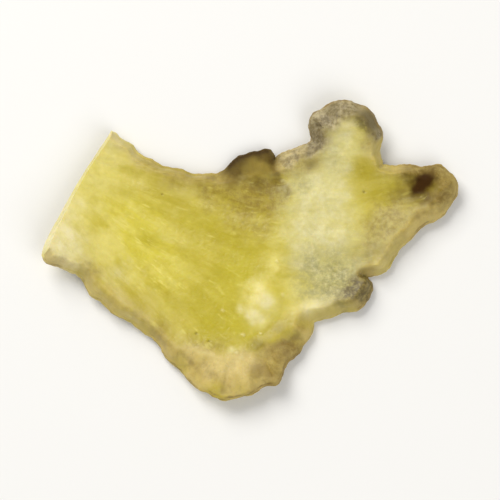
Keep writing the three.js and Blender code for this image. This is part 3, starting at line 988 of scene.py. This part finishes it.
def dried_flesh():
    """Waxy yellow flesh with fibres and frosted places, and the matt mottled skin round it."""
    shader = Shader("dried_flesh")
    texture = textures(shader)
    skin, dark = shader.value("skin"), shader.value("dark")

    bared = shader.ramp(shader.value("bare"), 0.0, 1.0, 1.0, 0.3)
    share = shader.multiply(skin, bared)
    colours = shader.mix(share, flesh_colour(shader, texture), skin_colour(shader, texture))
    # Painted shading of the fine relief: darker in its low places and lighter on its high ones
    relief = shader.ramp(shader.value("relief"), -1.0, 1.0, 0.9, 1.07)
    colours = shader.mix(1.0, colours, shader.grey(relief), "MULTIPLY")
    # Brown stain and painted shade in the pits, pinholes and deepest hollows
    colours = shader.mix(dark, colours, tone("brown_stain_and_shade"))
    shader.feed(shader.surface.inputs["Base Color"], colours)

    frost_roughness = shader.ramp(shader.value("frosted"), 0.0, 1.0, 0.4, 0.55)
    skin_roughness = shader.ramp(skin, 0.0, 1.0, 0.0, 0.2)
    uneven = shader.ramp(texture["blotch"], 0.3, 0.7, -0.06, 0.06)
    roughness = shader.add(shader.add(frost_roughness, skin_roughness), uneven)
    shader.feed(shader.surface.inputs["Roughness"], roughness)

    corky = shader.multiply(shader.value("bark"), skin)
    matt = shader.add(dark, shader.multiply(shader.value("brown"), 0.6))
    dull = shader.add(matt, corky)
    shader.feed(shader.surface.inputs["Specular IOR Level"], shader.ramp(dull, 0.0, 1.0, 0.5, 0.1))
    shader.feed(shader.surface.inputs["Coat Weight"], shader.ramp(dull, 0.0, 1.0, 0.06, 0.0))

    height = shader.add(shader.multiply(texture["threads"], 0.6), shader.multiply(texture["grain"], 0.7))
    height = shader.add(height, shader.multiply(texture["blotch"], skin))
    bump = shader.node("ShaderNodeBump", {"Height": height, "Distance": 0.0001, "Strength": 0.8})
    shader.feed(shader.surface.inputs["Normal"], bump)

    settings = {
        "Subsurface Weight": 0.3,
        "Subsurface Radius": (1.0, 0.75, 0.28),
        "Subsurface Scale": 0.0007,
        "Coat Roughness": 0.3,
        "IOR": 1.42,
    }
    for name, value in settings.items():
        shader.surface.inputs[name].default_value = value
    return shader.material


def flesh_colour(shader, texture):
    """Zones over a base of two tones, then streaks and dingy places, threads and the grain of the frost."""
    cloud, grain, speckle, threads = (texture[name] for name in ("cloud", "grain", "speckle", "threads"))
    base = shader.ramp(texture["bands"], 0.35, 0.65)
    mixed = shader.mix(base, tone("green flesh"), tone("yellow flesh"))
    beside_skin = shader.multiply(shader.value("edge"), shader.ramp(cloud, 0.3, 0.6, 0.5, 0.9))
    mixed = shader.mix(beside_skin, mixed, tone("flesh near the skin"))
    fading = {name: (cloud, 0.25, 0.7, 0.65) for name in ZONES}
    fading["mottle"] = (speckle, 0.26, 0.68, 0.25)
    # The mottle and the painted shade fade in patchily with the speckle
    fading["dusk"] = (speckle, 0.26, 0.58, 0.45)
    for name, (zone_tone, *_) in ZONES.items():
        share = shader.multiply(shader.value(name), shader.ramp(*fading[name]))
        mixed = shader.mix(share, mixed, colour(*zone_tone))

    fibrous, bright, frost = (shader.value(name) for name in ("fibrous", "bright", "frost"))
    streaky = shader.multiply(shader.ramp(texture["streaks"], 0.6, 0.38), fibrous)
    mixed = shader.mix(streaky, mixed, tone("streak shade"), "MULTIPLY")
    blotchy = shader.ramp(texture["blotch"], 0.6, 0.35, 0.0, 0.2)
    mixed = shader.mix(blotchy, mixed, tone("blotch shade"), "MULTIPLY")
    # Speckled darkening of the khaki and of the grey haze, which holds painted shade
    dingy = shader.add(shader.value("haze"), shader.value("khaki"))
    dingy = shader.multiply(dingy, shader.ramp(speckle, 0.62, 0.34, 0.0, 0.8))
    mixed = shader.mix(dingy, mixed, tone("dingy shade"), "MULTIPLY")

    dark_threads = shader.multiply(shader.ramp(threads, 0.48, 0.34, 0.0, 0.6), fibrous)
    mixed = shader.mix(shader.multiply(dark_threads, bright), mixed, tone("dark thread"))
    pale_threads = shader.multiply(shader.ramp(threads, 0.54, 0.72), fibrous)
    patches = shader.multiply(shader.ramp(cloud, 0.4, 0.6), shader.ramp(bright, 0.0, 1.0, 0.3, 0.6))
    mixed = shader.mix(shader.multiply(pale_threads, patches), mixed, tone("pale thread"))

    yellowed = shader.multiply(frost, shader.ramp(cloud, 0.55, 0.35, 0.0, 0.5))
    mixed = shader.mix(yellowed, mixed, tone("yellowed frost"))
    crystals = shader.multiply(frost, shader.ramp(grain, 0.56, 0.72, 0.0, 0.2))
    mixed = shader.mix(crystals, mixed, tone("frost crystal"))
    gaps = shader.multiply(shader.value("frosted"), shader.ramp(grain, 0.44, 0.3, 0.0, 0.15))
    return shader.mix(gaps, mixed, tone("frost gap"))


def skin_colour(shader, texture):
    """Tan skin with ash-grey, weathered and bark-brown places, painted shade in its creases, and flecks."""
    cloud, speckle = texture["cloud"], texture["speckle"]
    rim, rings, wall = (shader.value(name) for name in ("rim", "rings", "wall"))
    mixed = shader.mix(shader.ramp(cloud, 0.35, 0.65), tone("skin"), tone("pale skin"))
    mixed = shader.mix(shader.multiply(rim, 0.5), mixed, tone("rim"))
    mixed = shader.mix(shader.ramp(rings, 0.0, -0.6, 0.0, 0.3), mixed, tone("ring"))

    ash = shader.mix(shader.ramp(speckle, 0.36, 0.64), tone("dark ash"), tone("pale ash"))
    arcs = shader.multiply(shader.value("band"), shader.ramp(cloud, 0.6, 0.4, 0.2, 0.8))
    ash = shader.mix(arcs, ash, tone("ash arc"))
    ash = shader.mix(shader.ramp(rings, 0.1, -0.7, 0.0, 0.3), ash, tone("ash arc"))
    mixed = shader.mix(shader.value("ash"), mixed, ash)

    uneven = shader.ramp(speckle, 0.32, 0.64, 0.6, 1.0)
    for name in SKIN_TONES:
        mixed = shader.mix(shader.multiply(shader.value(name), uneven), mixed, colour(*ZONES[name][0]))
    weathered = shader.multiply(wall, shader.ramp(texture["blotch"], 0.35, 0.6, 0.1, 0.45))
    mixed = shader.mix(weathered, mixed, tone("weathered skin"))
    # Painted shade in the low places of the skin's relief, strongest on the wall
    crease_shade = shader.multiply(wall, shader.ramp(shader.value("relief"), 0.1, -0.7, 0.0, 0.65))
    mixed = shader.mix(crease_shade, mixed, tone("crease shade"))

    bark = shader.mix(rim, tone("bark"), tone("bark rim"))
    bark = shader.mix(shader.ramp(cloud, 0.55, 0.35, 0.0, 0.4), bark, tone("bark blotch"))
    bark = shader.mix(shader.value("crown"), bark, tone("crown of the bark"))
    mixed = shader.mix(shader.value("bark"), mixed, bark)
    return shader.mix(shader.ramp(texture["grain"], 0.58, 0.72, 0.0, 0.2), mixed, tone("skin fleck"))


def pale_floor():
    """Broad pale plane that the slice lies on."""
    half = FLOOR_HALF
    corners = [(-half, -half, 0), (half, -half, 0), (half, half, 0), (-half, half, 0)]
    mesh = bpy.data.meshes.new("floor")
    mesh.from_pydata(corners, [], [(0, 1, 2, 3)])
    floor = bpy.data.objects.new("floor", mesh)
    bpy.context.collection.objects.link(floor)
    shader = Shader("pale_floor")
    shader.surface.inputs["Base Color"].default_value = tone("floor")
    shader.surface.inputs["Roughness"].default_value = 0.8
    mesh.materials.append(shader.material)


def area_light(name, place, size, power, tint):
    """Square light that faces the slice."""
    data = bpy.data.lights.new(name, "AREA")
    data.size = size
    data.energy = power
    data.color = tint
    light = bpy.data.objects.new(name, data)
    light.location = place
    light.rotation_euler = (-Vector(place)).to_track_quat("-Z", "Y").to_euler()
    bpy.context.collection.objects.link(light)


def soft_studio_light():
    """Warm light from the upper left, a weaker one from the lower right, and a white surrounding."""
    area_light("key", **KEY_LIGHT)
    area_light("fill", **FILL_LIGHT)
    world = bpy.data.worlds.new("studio")
    world.use_nodes = True
    background = world.node_tree.nodes["Background"]
    background.inputs["Color"].default_value = (1.0, 1.0, 1.0, 1.0)
    background.inputs["Strength"].default_value = SKY_STRENGTH
    bpy.context.scene.world = world
    bpy.context.scene.view_settings.view_transform = "Standard"


def camera_above(target):
    """Camera almost straight above, as far off the vertical as the slice lies from the picture's middle."""
    to_camera = Vector(CAMERA_OFFSET)
    back = to_camera.normalized()
    right = Vector((0, 1, 0)).cross(back).normalized()
    up = back.cross(right)
    data = bpy.data.cameras.new("camera")
    data.lens = LENS
    data.clip_start = 0.01
    camera = bpy.data.objects.new("camera", data)
    turn = Matrix((right, up, back)).transposed().to_4x4()
    camera.matrix_world = Matrix.Translation(target + to_camera) @ turn
    bpy.context.collection.objects.link(camera)
    bpy.context.scene.camera = camera


slice_piece = make_slice()
slice_piece.data.materials.append(dried_flesh())
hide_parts("rhizome_slice")
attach(slice_piece, "root")

pale_floor()
soft_studio_light()
camera_above((cad_bounds[0] + cad_bounds[1]) / 2)
